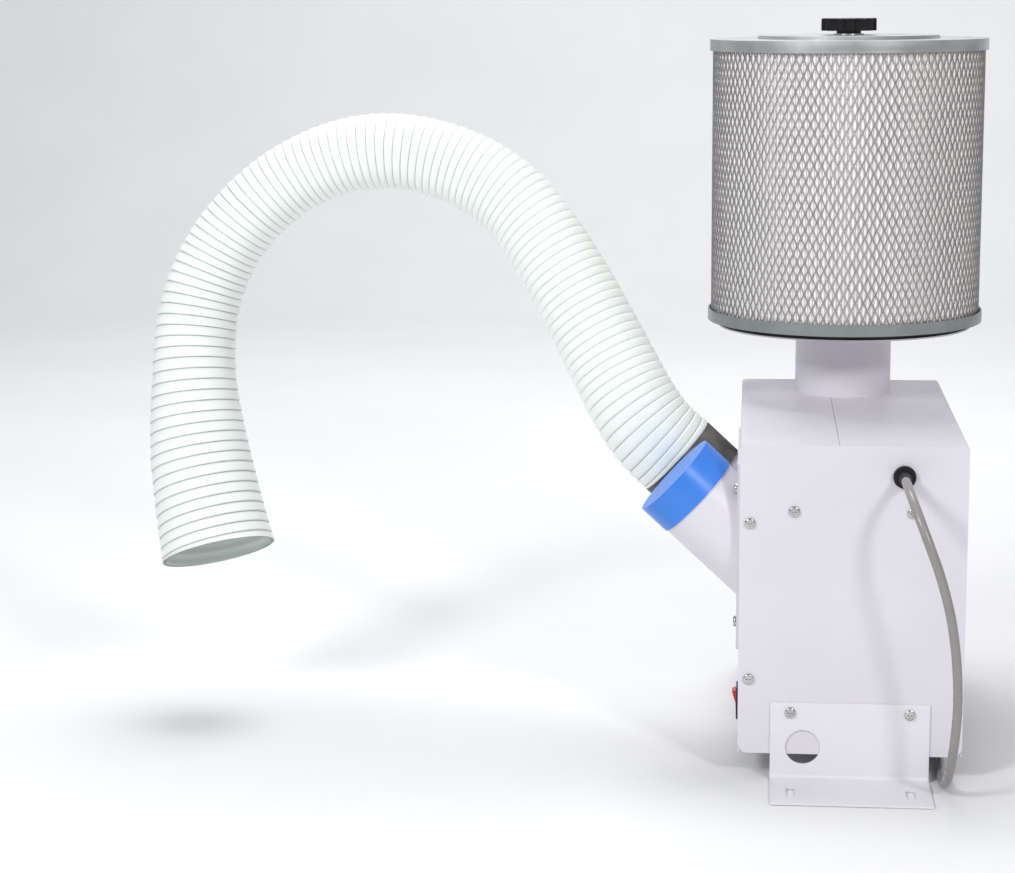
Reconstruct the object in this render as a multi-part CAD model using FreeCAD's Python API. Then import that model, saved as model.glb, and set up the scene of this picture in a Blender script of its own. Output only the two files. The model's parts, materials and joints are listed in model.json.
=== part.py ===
import FreeCAD, Part
import math
import os

# Solder fume extractor: a sheet-steel blower box on two bench brackets, a lift-off filter canister on its
# exhaust tube, and a self-supporting fume hose on one of its two slanted inlets.
# Millimetres. +Z up, origin on the bench under the middle of the box, near side panel at -Y, inlets at -X.

V = FreeCAD.Vector
X_AXIS = V(1, 0, 0)
Y_AXIS = V(0, 1, 0)
Z_AXIS = V(0, 0, 1)

# Housing
BOX_WIDTH = 216.0
BOX_DEPTH = 400.0
BOX_BOTTOM = 25.0
BOX_TOP = 330.0
SHEET = 1.5
SHELL_BEND = 4.0
PANEL_CORNER = 10.0
LAP = 15.0
RETURN_FLANGE = 18.0
SEAM_X = -14.0
SEAM_GAP = 0.5
PANEL_GAP = 0.3
PAN_LIP = 14.0
STIFFENER_Z = 266.0
STIFFENER_HALF = 75.0
STIFFENER_SHELF = 16.0

# Bench brackets
BRACKET_HALF = 76.5
BRACKET_SHEET = 2.0
BRACKET_HEIGHT = 77.0
BRACKET_REACH = 80.0
SLOT_X = 57.0
SLOT_Y = 246.7
SLOT_WIDTH = 9.2
SLOT_LENGTH = 26.5
BRACKET_HOLE_X = -45.0
BRACKET_HOLE_Z = 32.7
BRACKET_HOLE_R = 17.0
BRACKET_SCREW_X = 57.3
BRACKET_SCREW_Z = 67.4

# Inlets
PLATE_THICK = 2.5
PLATE_Y = (-188.0, 2.0)
PLATE_Z = (125.0, 311.0)
INLET_TILT = 43.0
INLET_Z = 230.8
INLET_NEAR_Y = -143.0
INLET_FAR_Y = -43.0
INLET_R = 44.45
INLET_WALL = 1.5
INLET_REACH = 85.0
CAP_LENGTH = 31.5
CAP_WALL = 1.2
CAP_GAP = 0.05
CUFF_LENGTH = 41.0
CUFF_R = 46.4

# Hose: hand-placed points of its centre line, each with the outer radius there
HOSE_WALL = 2.5
HOSE_POINTS = [
    (-235, -22, 370, 44.5),
    (-300, 25, 480, 42.0),
    (-355, 55, 545, 40.5),
    (-425, 72, 581, 39.5),
    (-500, 79, 590, 39.0),
    (-575, 83, 568, 38.0),
    (-640, 79, 518, 38.5),
    (-685, 68, 440, 41.5),
    (-693, 46, 350, 44.5),
    (-684, 24, 273, 52.7),
    (-659, -12, 173, 59.5),
]
HOSE_HINGES = (0.16, 0.47, 0.78)
HINGE_HALF_GAP = 9.0
COLLAR_GAP = 0.07
COLLAR_LENGTH = 24.0
SWIVEL_GAP = 0.4

# Exhaust and filter, both on the vertical line through (0, EXHAUST_Y)
EXHAUST_Y = 130.0
EXHAUST_R = 50.8
SEAT_R = 134.0
SEAT_Z = 403.0
GASKET_R = 132.0
CANISTER_R = 145.5
CANISTER_BOTTOM = 408.0
CANISTER_TOP = 705.0
CAP_BAND = 12.0
RAISED_R = 94.0
RAISED_H = 3.5
MEDIA_OUTER = 138.5
MEDIA_INNER = 100.5
PLEATS = 80
ROD_R = 4.0
ROD_BOTTOM = 332.0
ROD_TOP = 720.0
KNOB_TOP = 726.0
KNOB_R = 29.0
KNOB_GRIP = 13.0
KNOB_HUB_R = 13.0
KNOB_LOBES = 8

# Blower, on a shaft along X
FAN_Y = 40.0
FAN_Z = 155.0
FAN_R = 75.0
FAN_BLADES = 32
SCROLL_HALF = 52.0
SCROLL_START = 82.0
SCROLL_END = 141.0
SHAFT_R = 4.0
MOTOR_R = 42.0
MOTOR_SCREW_R = 48.0
MOTOR_FLANGE_R = 54.0
MOTOR_END = 103.0

# Rocker switch on the inlet side
SWITCH_Y = -130.0
SWITCH_Z = 57.0
ROCKER_TILT = 10.0

# Fasteners
HEAD_R = 5.3
HEAD_H = 3.0
SHANK_R = 2.5

# Power cord: hand-placed route from the bushing to the tangent point of the coil
CORD_R = 4.5
BUSHING_X = 47.3
BUSHING_Z = 301.0
BUSHING_LENGTH = 21.0
BUSHING_BARREL_R = 8.0
CORD_ROUTE = [
    (47.3, -221.0, 301.0),
    (48.0, -247.0, 299.5),
    (53.5, -274.0, 286.0),
    (64.0, -289.0, 259.0),
    (78.0, -294.0, 222.0),
    (90.0, -292.0, 174.0),
    (96.0, -286.0, 112.0),
    (94.0, -281.0, 66.0),
    (91.0, -266.0, 30.0),
    (88.5, -238.0, 7.0),
    (89.5, -198.0, 4.7),
    (91.5, -145.0, 4.6),
    (94.0, -87.0, 4.7),
    (93.0, -28.0, 4.6),
    (90.5, 31.0, 4.7),
    (91.0, 90.0, 4.6),
    (93.5, 148.0, 4.7),
    (94.5, 205.0, 4.6),
    (92.5, 260.0, 4.7),
    (92.0, 306.0, 4.6),
    (92.0, 348.0, 4.7),
]
COIL_X = 37.5
COIL_Y = 350.0
COIL_R = 50.0
PLUG_LEAD = [
    (37.5, 400.0, 13.5),
    (17.0, 400.5, 13.3),
    (-3.0, 401.5, 12.4),
    (-22.0, 403.5, 11.5),
]

HALF_W = BOX_WIDTH / 2
HALF_D = BOX_DEPTH / 2


# Shared shape makers

def box(x0, x1, y0, y1, z0, z1):
    return Part.makeBox(x1 - x0, y1 - y0, z1 - z0, V(x0, y0, z0))


def rod(radius, start, direction, length):
    return Part.makeCylinder(radius, length, start, direction)


def ring(outer, inner, start, direction, length):
    return rod(outer, start, direction, length).cut(rod(inner, start, direction, length))


def prism(points, direction):
    """Closed polygon through the points, pushed along a vector."""
    return Part.Face(Part.makePolygon(list(points) + [points[0]])).extrude(direction)


def spun(profile, x, y):
    """Polygon of (radius, height) pairs turned about the vertical line through (x, y)."""
    points = [V(x + r, y, z) for r, z in profile]
    face = Part.Face(Part.makePolygon(points + [points[0]]))
    return face.revolve(V(x, y, 0), Z_AXIS, 360)


def rounded(shape, radius, wanted):
    """Fillets the edges for which wanted(first end, last end) is true."""
    edges = [e for e in shape.Edges if len(e.Vertexes) == 2 and wanted(*[v.Point for v in e.Vertexes])]
    return shape.makeFillet(radius, edges)


def along_y(x, z):
    """Test for edges that run along Y at one x and z."""
    return lambda a, b: all(abs(p.x - x) < 0.01 and abs(p.z - z) < 0.01 for p in (a, b))


def joined(first, *others):
    return first.multiFuse(list(others)).removeSplitter()


def group(shapes):
    return Part.makeCompound(list(shapes))


def mirrored(shape):
    """The same shape on the other side of the plane y = 0."""
    return shape.mirror(V(0, 0, 0), Y_AXIS)


def drilled(shape, radius, centres, direction):
    """Cuts a round hole through the shape at each centre, 20 mm to both sides."""
    holes = [rod(radius, c - direction * 20, direction, 40) for c in centres]
    return shape.cut(holes)


def pan_screw(place, outward, length):
    """Pan-head screw with a cross recess, its head's seat at place."""
    head = Part.makeCylinder(HEAD_R, HEAD_H)
    head = head.makeFillet(HEAD_H * 0.6, [e for e in head.Edges if e.BoundBox.ZMin > HEAD_H - 0.01])
    shank = rod(SHANK_R, V(0, 0, -length), Z_AXIS, length)
    slot = box(-2.8, 2.8, -0.55, 0.55, HEAD_H - 1.4, HEAD_H)
    cross = slot.fuse(slot.rotated(V(0, 0, 0), Z_AXIS, 90))
    screw = head.fuse(shank).cut(cross).removeSplitter()
    screw.Placement = FreeCAD.Placement(place, FreeCAD.Rotation(Z_AXIS, outward))
    return screw


def hex_nut(place, outward, across, height, bore):
    corner = across / math.sqrt(3)
    points = [V(corner * math.cos(math.radians(60 * i)), corner * math.sin(math.radians(60 * i)), 0)
              for i in range(6)]
    nut = prism(points, V(0, 0, height)).cut(rod(bore, V(0, 0, 0), Z_AXIS, height))
    nut.Placement = FreeCAD.Placement(place, FreeCAD.Rotation(Z_AXIS, outward))
    return nut


# Places that several pieces share

def inlet_axis():
    tilt = math.radians(INLET_TILT)
    return V(-math.cos(tilt), 0, math.sin(tilt))


def inlet_point(y, distance):
    """Point on an inlet's axis, at a distance from where the axis leaves the inlet plate."""
    return V(-HALF_W - PLATE_THICK, y, INLET_Z) + inlet_axis() * distance


def inlet_core(y, radius):
    """Long slanted cylinder that follows an inlet through the wall."""
    return rod(radius, inlet_point(y, -90), inlet_axis(), 180)


def plate_screw_places():
    inset = 10.5
    x = -HALF_W - PLATE_THICK
    return [V(x, y, z) for y in (PLATE_Y[0] + inset, PLATE_Y[1] - inset) for z in (151.0, 283.0)]


def panel_screw_places():
    """Screws of the near side panel."""
    edge_ones = [V(-98.0, -HALF_D, z) for z in (99.7, 254.0)]
    return edge_ones + [V(x, -HALF_D, STIFFENER_Z) for x in (-56.0, 56.0)]


def bracket_screw_places(y):
    return [V(x, y, BRACKET_SCREW_Z) for x in (-BRACKET_SCREW_X, BRACKET_SCREW_X)]


# Housing

def half_shell(side):
    """Side wall and half of the top, with a return flange at both ends. side is -1 or 1."""
    y0, y1 = -HALF_D + SHEET, HALF_D - SHEET
    seam = SEAM_X + side * SEAM_GAP / 2
    outer_x = side * HALF_W
    inner_x = side * (HALF_W - SHEET)
    outer = box(min(outer_x, seam), max(outer_x, seam), y0 + PANEL_GAP, y1 - PANEL_GAP, BOX_BOTTOM, BOX_TOP)
    outer = rounded(outer, SHELL_BEND, along_y(outer_x, BOX_TOP))
    inner = box(min(inner_x, seam), max(inner_x, seam), y0, y1, BOX_BOTTOM, BOX_TOP - SHEET)
    inner = rounded(inner, SHELL_BEND - SHEET, along_y(inner_x, BOX_TOP - SHEET))
    shell = outer.cut(inner)
    edge_x = side * (HALF_W - RETURN_FLANGE)
    for y in (y0, y1 - SHEET):
        flange = box(min(inner_x, edge_x), max(inner_x, edge_x), y, y + SHEET, 40, BOX_TOP - 8)
        shell = shell.fuse(flange)
    return shell.removeSplitter()


def left_shell():
    shell = half_shell(-1)
    shell = shell.cut([inlet_core(y, INLET_R) for y in (INLET_NEAR_Y, INLET_FAR_Y)])
    shell = shell.cut(box(-HALF_W - 1, -HALF_W + 3, SWITCH_Y - 9.5, SWITCH_Y + 9.5,
                          SWITCH_Z - 14, SWITCH_Z + 14))
    shell = shell.cut(rod(EXHAUST_R, V(0, EXHAUST_Y, BOX_TOP - 10), Z_AXIS, 20))
    shell = drilled(shell, SHANK_R, plate_screw_places(), X_AXIS)
    near = [p for p in panel_screw_places() if p.x < -90]
    far = [V(p.x, -p.y, p.z) for p in near]
    return drilled(shell, SHANK_R, near + far, Y_AXIS)


def right_shell():
    lap = box(SEAM_X - LAP, SEAM_X + LAP, -HALF_D + SHEET, HALF_D - SHEET,
              BOX_TOP - 2 * SHEET, BOX_TOP - SHEET)
    shell = joined(half_shell(1), lap)
    return shell.cut(rod(EXHAUST_R, V(0, EXHAUST_Y, BOX_TOP - 10), Z_AXIS, 20))


def side_panel():
    """Flat end panel, on the near side here, without the hole for the cord."""
    panel = box(-HALF_W, HALF_W, -HALF_D, -HALF_D + SHEET, BOX_BOTTOM, BOX_TOP)
    for x in (-HALF_W, HALF_W):
        panel = rounded(panel, PANEL_CORNER, along_y(x, BOX_BOTTOM))
        panel = rounded(panel, SHELL_BEND, along_y(x, BOX_TOP))
    panel = drilled(panel, SHANK_R, panel_screw_places(), Y_AXIS)
    return drilled(panel, SHANK_R, bracket_screw_places(-HALF_D), Y_AXIS)


def side_panel_near():
    return drilled(side_panel(), BUSHING_BARREL_R, [V(BUSHING_X, -HALF_D, BUSHING_Z)], Y_AXIS)


def bottom_pan():
    half_x = HALF_W - SHEET
    half_y = HALF_D - 2 * SHEET
    outer = box(-half_x, half_x, -half_y, half_y, BOX_BOTTOM, BOX_BOTTOM + PAN_LIP)
    inner = box(-half_x + SHEET, half_x - SHEET, -half_y + SHEET, half_y - SHEET,
                BOX_BOTTOM + SHEET, BOX_BOTTOM + PAN_LIP)
    return outer.cut(inner)


def panel_stiffeners():
    """Angle behind each side panel, held by the panel's two upper screws."""
    y = -HALF_D + SHEET
    foot = STIFFENER_Z - 14
    upright = box(-STIFFENER_HALF, STIFFENER_HALF, y, y + SHEET, foot, STIFFENER_Z + 14)
    shelf = box(-STIFFENER_HALF, STIFFENER_HALF, y, y + STIFFENER_SHELF, foot - SHEET, foot)
    angle = joined(upright, shelf)
    angle = drilled(angle, SHANK_R, [p for p in panel_screw_places() if p.z == STIFFENER_Z], Y_AXIS)
    return group([angle, mirrored(angle)])


def bench_bracket_near():
    """Angle bracket: its foot carries two slots, its upright one round hole."""
    face = -HALF_D - BRACKET_SHEET
    upright = box(-BRACKET_HALF, BRACKET_HALF, face, -HALF_D, 0, BRACKET_HEIGHT)
    foot = box(-BRACKET_HALF, BRACKET_HALF, -HALF_D - BRACKET_REACH, -HALF_D, 0, BRACKET_SHEET)
    bracket = joined(upright, foot)
    bracket = rounded(bracket, 3.0, lambda a, b: a.y < face + 0.01 and b.y < face + 0.01
                      and abs(a.z - BRACKET_SHEET) < 0.01 and abs(b.z - BRACKET_SHEET) < 0.01
                      and abs(a.y - face) < 0.01 and abs(b.y - face) < 0.01)
    bracket = drilled(bracket, SHANK_R, bracket_screw_places(-HALF_D), Y_AXIS)
    bracket = drilled(bracket, BRACKET_HOLE_R, [V(BRACKET_HOLE_X, -HALF_D, BRACKET_HOLE_Z)], Y_AXIS)
    straight = SLOT_LENGTH - SLOT_WIDTH
    for x in (-SLOT_X, SLOT_X):
        slot = box(x - SLOT_WIDTH / 2, x + SLOT_WIDTH / 2, -SLOT_Y - straight / 2, -SLOT_Y + straight / 2,
                   -1, BRACKET_SHEET + 1)
        ends = [rod(SLOT_WIDTH / 2, V(x, -SLOT_Y + s * straight / 2, -1), Z_AXIS, BRACKET_SHEET + 2)
                for s in (-1, 1)]
        bracket = bracket.cut([slot] + ends)
    return bracket


def side_panel_screws():
    near = [pan_screw(p, V(0, -1, 0), 9) for p in panel_screw_places()]
    return group(near + [mirrored(s) for s in near])


def bracket_screws():
    near = [pan_screw(p, V(0, -1, 0), 12) for p in bracket_screw_places(-HALF_D - BRACKET_SHEET)]
    return group(near + [mirrored(s) for s in near])


def bracket_nuts():
    near = [hex_nut(p, Y_AXIS, 8.0, 4.0, SHANK_R) for p in bracket_screw_places(-HALF_D + SHEET)]
    return group(near + [mirrored(n) for n in near])


# Inlets

def inlet_plate():
    x0, x1 = -HALF_W - PLATE_THICK, -HALF_W
    plate = box(x0, x1, PLATE_Y[0], PLATE_Y[1], PLATE_Z[0], PLATE_Z[1])
    plate = rounded(plate, 4.0, lambda a, b: abs(a.x - b.x) > 1)
    plate = plate.cut([inlet_core(y, INLET_R) for y in (INLET_NEAR_Y, INLET_FAR_Y)])
    return drilled(plate, SHANK_R, plate_screw_places(), X_AXIS)


def inlet_tube(y, reach):
    tube = ring(INLET_R, INLET_R - INLET_WALL, inlet_point(y, -90), inlet_axis(), 90 + reach)
    inside = box(-HALF_W + SHEET, HALF_W, y - 60, y + 60, 0, BOX_TOP)
    return tube.cut(inside)


def inlet_cap():
    inner_length = CAP_LENGTH - 2 * CAP_WALL
    start = inlet_point(INLET_NEAR_Y, INLET_REACH - CAP_LENGTH)
    cap = rod(INLET_R + CAP_GAP + CAP_WALL, start, inlet_axis(), CAP_LENGTH)
    bore = rod(INLET_R + CAP_GAP, start, inlet_axis(), inner_length)
    return cap.cut(bore)


def hose_cuff():
    start = inlet_point(INLET_FAR_Y, INLET_REACH - CUFF_LENGTH)
    return ring(CUFF_R, INLET_R, start, inlet_axis(), CUFF_LENGTH)


def inlet_plate_screws():
    return group(pan_screw(p, V(-1, 0, 0), 8) for p in plate_screw_places())


# Hose

def hose_edge():
    """Centre line of the hose, a smooth curve that leaves the far inlet along its axis."""
    start = inlet_point(INLET_FAR_Y, INLET_REACH + SWIVEL_GAP)
    points = [start, start + inlet_axis() * 25] + [V(x, y, z) for x, y, z, _ in HOSE_POINTS]
    curve = Part.BSplineCurve()
    curve.interpolate(points)
    return curve.toShape()


def hose_frame(edge, distance):
    """Centre, sideways direction and tangent of the hose at a distance along it, square to its tube at 0."""
    at = edge.getParameterByLength(distance)
    tangent = edge.tangentAt(at).normalize() if distance > 0 else inlet_axis()
    sideways = (Y_AXIS - tangent * Y_AXIS.dot(tangent)).normalize()
    return edge.valueAt(at), sideways, tangent


def hose_radius(edge, distance):
    """Outer radius, in proportion between the hand-placed points."""
    centre = hose_frame(edge, distance)[0]
    start = inlet_point(INLET_FAR_Y, INLET_REACH)
    places = [(start, 46.0)] + [(V(x, y, z), r) for x, y, z, r in HOSE_POINTS]
    gaps = [((centre - a).Length + (centre - b).Length - (b - a).Length, i)
            for i, ((a, _), (b, _)) in enumerate(zip(places, places[1:]))]
    i = min(gaps)[1]
    (a, ra), (b, rb) = places[i], places[i + 1]
    share = (centre - a).Length / ((centre - a).Length + (centre - b).Length)
    return ra + (rb - ra) * share


def hose_circle(edge, distance, shrink):
    centre, sideways, tangent = hose_frame(edge, distance)
    circle = Part.makeCircle(hose_radius(edge, distance) - shrink)
    turn = FreeCAD.Rotation(sideways, tangent.cross(sideways), tangent, "ZXY")
    circle.Placement = FreeCAD.Placement(centre, turn)
    return Part.Wire([circle])


def hose_piece(edge, start, end, steps):
    """Hollow stretch of the hose between two distances along it."""
    stops = [start + (end - start) * i / steps for i in range(steps + 1)]
    outer = Part.makeLoft([hose_circle(edge, s, 0) for s in stops], True, False)
    inner = Part.makeLoft([hose_circle(edge, s, HOSE_WALL) for s in stops], True, False)
    return outer.cut(inner)


def hose_hinge_distances(edge):
    return [edge.Length * share for share in HOSE_HINGES]


def hose_sections(edge):
    ends = [0.0]
    for distance in hose_hinge_distances(edge):
        ends += [distance - HINGE_HALF_GAP, distance + HINGE_HALF_GAP]
    ends.append(edge.Length)
    return [hose_piece(edge, a, b, max(4, round((b - a) / 40))) for a, b in zip(ends[::2], ends[1::2])]


def hose_flexes(edge):
    """Thin folded rings that bridge the gaps between the hose sections."""
    rings = []
    for distance in hose_hinge_distances(edge):
        stops = [distance - HINGE_HALF_GAP + HINGE_HALF_GAP * i / 2 for i in range(5)]
        folds = [0.2, 2.6, 0.2, 2.6, 0.2]
        outer = Part.makeLoft([hose_circle(edge, s, f) for s, f in zip(stops, folds)], True, True)
        inner = Part.makeLoft([hose_circle(edge, s, f + 1.2) for s, f in zip(stops, folds)], True, True)
        rings.append(outer.cut(inner))
    return rings


def hose_collar():
    """Thin sleeve on the hose's end that turns inside the far inlet tube."""
    outer = INLET_R - INLET_WALL - COLLAR_GAP
    start = inlet_point(INLET_FAR_Y, INLET_REACH - COLLAR_LENGTH)
    sleeve = ring(outer, outer - 1.2, start, inlet_axis(), COLLAR_LENGTH + SWIVEL_GAP)
    lip_start = inlet_point(INLET_FAR_Y, INLET_REACH + SWIVEL_GAP / 2)
    lip = ring(45.0, outer - 1.2, lip_start, inlet_axis(), SWIVEL_GAP / 2)
    return joined(sleeve, lip)


# Exhaust tube, filter seat and tie rod

def exhaust_tube():
    foot = BOX_TOP - 12
    return ring(EXHAUST_R, EXHAUST_R - SHEET, V(0, EXHAUST_Y, foot), Z_AXIS, SEAT_Z - foot)


def filter_seat_flange():
    return ring(SEAT_R, EXHAUST_R, V(0, EXHAUST_Y, SEAT_Z - SHEET), Z_AXIS, SHEET)


def rod_spider():
    """Crossed bars inside the exhaust tube that hold the tie rod's foot."""
    reach = EXHAUST_R - SHEET
    bars = [box(-reach, reach, -7, 7, 0, 3).rotated(V(0, 0, 0), Z_AXIS, a) for a in (45, 135)]
    cross = joined(*bars).common(rod(reach, V(0, 0, 0), Z_AXIS, 3))
    cross = cross.cut(rod(ROD_R, V(0, 0, -1), Z_AXIS, 5))
    return cross.translated(V(0, EXHAUST_Y, ROD_BOTTOM + 10))


def tie_rod():
    return rod(ROD_R, V(0, EXHAUST_Y, ROD_BOTTOM), Z_AXIS, ROD_TOP - ROD_BOTTOM)


def rod_nuts():
    height = 6.5
    under = ROD_BOTTOM + 10 - height
    over = ROD_BOTTOM + 13
    return group(hex_nut(V(0, EXHAUST_Y, z), Z_AXIS, 13.0, height, ROD_R) for z in (under, over))


# Filter canister

def filter_gasket():
    return ring(GASKET_R, 60.0, V(0, EXHAUST_Y, SEAT_Z), Z_AXIS, CANISTER_BOTTOM - SEAT_Z)


def filter_bottom_cap():
    z = CANISTER_BOTTOM
    inner = CANISTER_R - SHEET
    profile = [(55, z), (CANISTER_R, z), (CANISTER_R, z + CAP_BAND), (inner, z + CAP_BAND),
               (inner, z + SHEET), (55, z + SHEET)]
    return spun(profile, 0, EXHAUST_Y)


def filter_top_cap():
    z = CANISTER_TOP
    bore = ROD_R + 0.6
    inner = CANISTER_R - SHEET
    top = z + RAISED_H
    profile = [(bore, top), (RAISED_R, top), (RAISED_R + 2, z), (CANISTER_R, z),
               (CANISTER_R, z - CAP_BAND), (inner, z - CAP_BAND), (inner, z - SHEET),
               (RAISED_R + 0.9, z - SHEET), (RAISED_R - 1.1, top - SHEET), (bore, top - SHEET)]
    return spun(profile, 0, EXHAUST_Y)


def filter_sleeve(outer):
    """Thin perforated cylinder between the caps, plain here."""
    z0 = CANISTER_BOTTOM + SHEET
    return ring(outer, outer - 1.2, V(0, EXHAUST_Y, z0), Z_AXIS, CANISTER_TOP - SHEET - z0)


def filter_media():
    """Pleated paper: a folded sheet of even thickness around the inner liner."""
    fold = 9.0
    z0 = CANISTER_BOTTOM + SHEET

    def zigzag(tip, root):
        points = []
        for i in range(2 * PLEATS):
            angle = math.pi * i / PLEATS
            radius = root if i % 2 else tip
            points.append(V(radius * math.cos(angle), EXHAUST_Y + radius * math.sin(angle), z0))
        return Part.Face(Part.makePolygon(points + [points[0]]))

    sheet = zigzag(MEDIA_OUTER, MEDIA_INNER + fold).cut(zigzag(MEDIA_OUTER - fold, MEDIA_INNER))
    return sheet.extrude(V(0, 0, CANISTER_TOP - SHEET - z0))


def knob_washer():
    return ring(16.0, ROD_R + 0.3, V(0, EXHAUST_Y, CANISTER_TOP + RAISED_H), Z_AXIS, 1.5)


def filter_knob():
    """Lobed clamping knob with a threaded blind bore."""
    base = CANISTER_TOP + RAISED_H + 1.5
    hub = rod(KNOB_HUB_R, V(0, EXHAUST_Y, base), Z_AXIS, KNOB_TOP - base - 2)
    grip = rod(KNOB_R, V(0, EXHAUST_Y, KNOB_TOP - KNOB_GRIP), Z_AXIS, KNOB_GRIP)
    for i in range(KNOB_LOBES):
        angle = 2 * math.pi * (i + 0.5) / KNOB_LOBES
        place = V((KNOB_R + 5) * math.cos(angle), EXHAUST_Y + (KNOB_R + 5) * math.sin(angle), base)
        grip = grip.cut(rod(8.5, place, Z_AXIS, 30))
    grip = grip.makeFillet(1.6, [e for e in grip.Edges if e.BoundBox.ZMin > KNOB_TOP - 0.01])
    bore = rod(ROD_R + 0.08, V(0, EXHAUST_Y, base), Z_AXIS, ROD_TOP + 1.5 - base)
    return joined(hub, grip).cut(bore)


# Blower

def scroll_outline(shrink, x):
    """Volute around the fan that opens upwards into the square exhaust duct."""
    def at(angle, radius):
        a = math.radians(angle)
        return V(x, FAN_Y + radius * math.cos(a), FAN_Z + radius * math.sin(a))

    def radius(angle):
        return SCROLL_START + (SCROLL_END - SCROLL_START) * (angle - 45) / 315 - shrink

    arcs = [Part.Arc(at(a, radius(a)), at(a + 52.5, radius(a + 52.5)), at(a + 105, radius(a + 105))).toShape()
            for a in (45, 150, 255)]
    top = BOX_TOP - 2 * SHEET - 1 - shrink
    right = at(360, radius(360))
    left_y = 2 * EXHAUST_Y - right.y
    corners = [right, V(x, right.y, top), V(x, left_y, top), V(x, left_y, 250), at(45, radius(45))]
    lines = [Part.LineSegment(a, b).toShape() for a, b in zip(corners, corners[1:])]
    return Part.Face(Part.Wire(arcs + lines))


def blower_scroll():
    outer = scroll_outline(0, -SCROLL_HALF).extrude(V(2 * SCROLL_HALF, 0, 0))
    inner_half = SCROLL_HALF - SHEET
    inner = scroll_outline(SHEET, -inner_half).extrude(V(2 * inner_half, 0, 0))
    intake = rod(58.0, V(-SCROLL_HALF - 1, FAN_Y, FAN_Z), X_AXIS, 4)
    motor_hole = rod(14.0, V(inner_half - 1, FAN_Y, FAN_Z), X_AXIS, 4)
    outlet = rod(EXHAUST_R, V(0, EXHAUST_Y, BOX_TOP - 12), Z_AXIS, 20)
    scroll = outer.cut([inner, intake, motor_hole, outlet])
    return drilled(scroll, SHANK_R, motor_screw_places(), X_AXIS)


def motor_screw_places():
    places = []
    for i in range(3):
        angle = math.radians(90 + 120 * i)
        places.append(V(SCROLL_HALF + 3, FAN_Y + MOTOR_SCREW_R * math.cos(angle),
                        FAN_Z + MOTOR_SCREW_R * math.sin(angle)))
    return places


def impeller():
    """Squirrel-cage fan wheel: back plate, hub, curved blades and front ring."""
    centre = V(0, FAN_Y, FAN_Z)
    back = rod(FAN_R, centre + V(42, 0, 0), X_AXIS, 2)
    hub = rod(12, centre + V(28, 0, 0), X_AXIS, 16)
    front = ring(FAN_R, 61, centre + V(-36, 0, 0), X_AXIS, 2)
    wheel = joined(back, hub, front)
    outer, inner, lean, thick = FAN_R - 1, 62.0, 10.0, 1.2
    blades = []
    for i in range(FAN_BLADES):
        angle = 360 * i / FAN_BLADES
        blade = box(-34, 42, inner, outer, -thick / 2, thick / 2)
        blade = blade.rotated(V(0, inner, 0), X_AXIS, lean)
        blade = blade.rotated(V(0, 0, 0), X_AXIS, angle).translated(centre)
        blades.append(blade)
    wheel = wheel.multiFuse(blades)
    return wheel.cut(rod(SHAFT_R, centre + V(20, 0, 0), X_AXIS, 40)).removeSplitter()


def motor_shaft():
    return rod(SHAFT_R, V(26, FAN_Y, FAN_Z), X_AXIS, 75)


def motor_rotor():
    return ring(25.4, SHAFT_R, V(65, FAN_Y, FAN_Z), X_AXIS, 24)


def motor_stator():
    """Laminated ring with winding slots that open towards the rotor."""
    stator = ring(MOTOR_R - 2, 26, V(64, FAN_Y, FAN_Z), X_AXIS, 26)
    slot = box(60, 94, -1.6, 1.6, 24, 34)
    slots = [slot.rotated(V(0, 0, 0), X_AXIS, 30 * i).translated(V(0, FAN_Y, FAN_Z)) for i in range(12)]
    return stator.cut(slots)


def motor_front_bell():
    """Mounting flange of the motor, with the seat of the front bearing."""
    centre = V(SCROLL_HALF, FAN_Y, FAN_Z)
    bell = joined(rod(MOTOR_FLANGE_R, centre, X_AXIS, 3), rod(13, centre, X_AXIS, 9))
    bell = bell.cut(rod(8, centre - X_AXIS, X_AXIS, 11))
    return drilled(bell, SHANK_R, motor_screw_places(), X_AXIS)


def motor_can():
    """Motor cover with the seat of the rear bearing."""
    centre = V(SCROLL_HALF + 3, FAN_Y, FAN_Z)
    length = MOTOR_END - centre.x
    can = rod(MOTOR_R, centre, X_AXIS, length).cut(rod(MOTOR_R - 2, centre, X_AXIS, length - 1.5))
    seat = rod(12, V(93, FAN_Y, FAN_Z), X_AXIS, MOTOR_END - 93)
    return joined(can, seat).cut(rod(8, V(92, FAN_Y, FAN_Z), X_AXIS, 9))


def motor_bearings():
    return group(ring(8, SHAFT_R + 0.05, V(x, FAN_Y, FAN_Z), X_AXIS, 8) for x in (SCROLL_HALF, 93))


def motor_screws():
    return group(pan_screw(p, X_AXIS, 7) for p in motor_screw_places())


def run_capacitor():
    body = rod(18, V(-82, 60, 46), Y_AXIS, 55)
    posts = [box(-82 + s * 7 - 3, -82 + s * 7 + 3, 115, 124, 45.6, 46.4) for s in (-1, 1)]
    return joined(body, *posts)


def capacitor_clip():
    """Strap that holds the capacitor down on the bottom pan."""
    strap = ring(19.5, 18, V(-82, 80, 46), Y_AXIS, 14)
    strap = strap.cut(box(-110, -50, 70, 100, 0, BOX_BOTTOM + SHEET))
    feet = box(-102.5, -61.5, 80, 94, BOX_BOTTOM + SHEET, BOX_BOTTOM + SHEET + 1.2)
    return joined(strap, feet).cut(rod(18, V(-82, 60, 46), Y_AXIS, 55))


def terminal_block():
    """Block on the right wall with three screw wells."""
    block = box(92, HALF_W - SHEET, -178, -136, 228, 254)
    wells = [rod(4, V(91, -170 + 13 * i, 241), X_AXIS, 9) for i in range(3)]
    return block.cut(wells)


# Rocker switch

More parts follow.
